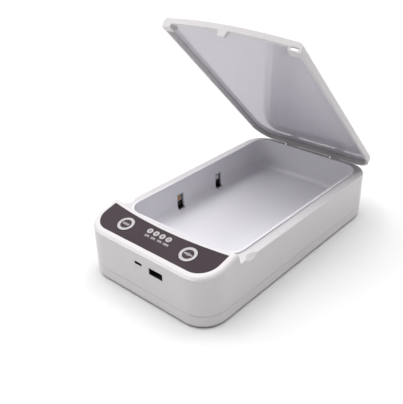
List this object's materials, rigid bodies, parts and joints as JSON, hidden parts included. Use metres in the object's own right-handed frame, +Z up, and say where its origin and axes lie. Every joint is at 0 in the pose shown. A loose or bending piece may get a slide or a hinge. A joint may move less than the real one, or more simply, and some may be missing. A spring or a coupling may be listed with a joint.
{
  "type": "uv sterilizer cabinet",
  "caption": "Shallow white sterilizing case with a hinged lid, a lined compartment lit from wall slots, a sloping button panel and charging sockets.",
  "frame": {"origin": "on the floor, under the centre of the case's footprint", "axes": "+Z up; -Y is the front, with the control panel and the sockets; the lid is hinged at +Y; +X is the right side seen from the front"},
  "size_m": [0.12, 0.2215, 0.1753],
  "materials": {
    "white_case": "satin moulded ABS",
    "white_tray": "polished moulded ABS",
    "white_liner": "high gloss",
    "panel_dark": "printed glossy panel",
    "button_dark": "glossy",
    "ring_pale": "satin translucent",
    "lens_pale": "clear satin",
    "board_green": "solder mask",
    "board_black": "black solder mask",
    "chip_black": "matt epoxy",
    "led_ceramic": "ceramic with a small die",
    "led_clear": "clear resin",
    "steel": "plated",
    "magnet": "nickel plated",
    "socket_steel": "nickel plated",
    "socket_plastic": "matt",
    "cell_foil": "pouch foil",
    "foam": "closed-cell foam",
    "foot_rubber": "matt",
    "ribbon": "flexible film"
  },
  "bodies": {
    "case": {"base_magnet_left": "magnet", "base_magnet_right": "magnet", "battery_pack": "cell_foil", "battery_pad": "foam", "board_ribbon": "ribbon", "boost_inductor": "chip_black", "bottom_cover": "white_case", "charge_controller": "chip_black", "control_overlay": "panel_dark", "control_pcb": "board_green", "control_pcb_screws": "steel", "cover_screws": "steel", "foot_front_left": "foot_rubber", "foot_front_right": "foot_rubber", "foot_rear_left": "foot_rubber", "foot_rear_right": "foot_rubber", "hinge_pin_left": "steel", "hinge_pin_right": "steel", "indicator_led_1": "led_clear", "indicator_led_2": "led_clear", "indicator_led_3": "led_clear", "indicator_led_4": "led_clear", "indicator_lens_1": "lens_pale", "indicator_lens_2": "lens_pale", "indicator_lens_3": "lens_pale", "indicator_lens_4": "lens_pale", "inner_tray": "white_tray", "lid_sensor": "chip_black", "main_pcb": "board_green", "main_pcb_screws": "steel", "micro_usb_socket": "socket_steel", "micro_usb_tongue": "socket_plastic", "tact_switch_left": "socket_steel", "tact_switch_right": "socket_steel", "upper_housing": "white_case", "usb_a_socket": "socket_steel", "usb_a_tongue": "socket_plastic", "uv_board_left": "board_black", "uv_board_right": "board_black", "uv_led_left_front": "led_ceramic", "uv_led_left_rear": "led_ceramic", "uv_led_right_front": "led_ceramic", "uv_led_right_rear": "led_ceramic"},
    "lid": {"lid_shell": "white_case", "lid_liner": "white_liner", "lid_magnet_left": "magnet", "lid_magnet_right": "magnet"},
    "button_left": {"button_cap_left": "button_dark", "button_ring_left": "ring_pale", "switch_plunger_left": "socket_plastic"},
    "button_right": {"button_cap_right": "button_dark", "button_ring_right": "ring_pale", "switch_plunger_right": "socket_plastic"}
  },
  "joints": [
    {"name": "lid_hinge", "type": "hinge", "parent": "case", "child": "lid", "pos_m": [0, 0.1052, 0.0354], "axis": [-1, 0, 0], "range_deg": [-45.5, 44.5]},
    {"name": "button_left_press", "type": "slide", "parent": "case", "child": "button_left", "axis": [0, 0.2205, -0.9754], "range_m": [0, 0.0005], "stiffness_N_per_m": 2000, "springref_m": -0.0002},
    {"name": "button_right_press", "type": "slide", "parent": "case", "child": "button_right", "axis": [0, 0.2205, -0.9754], "range_m": [0, 0.0005], "stiffness_N_per_m": 2000, "springref_m": -0.0002}
  ]
}
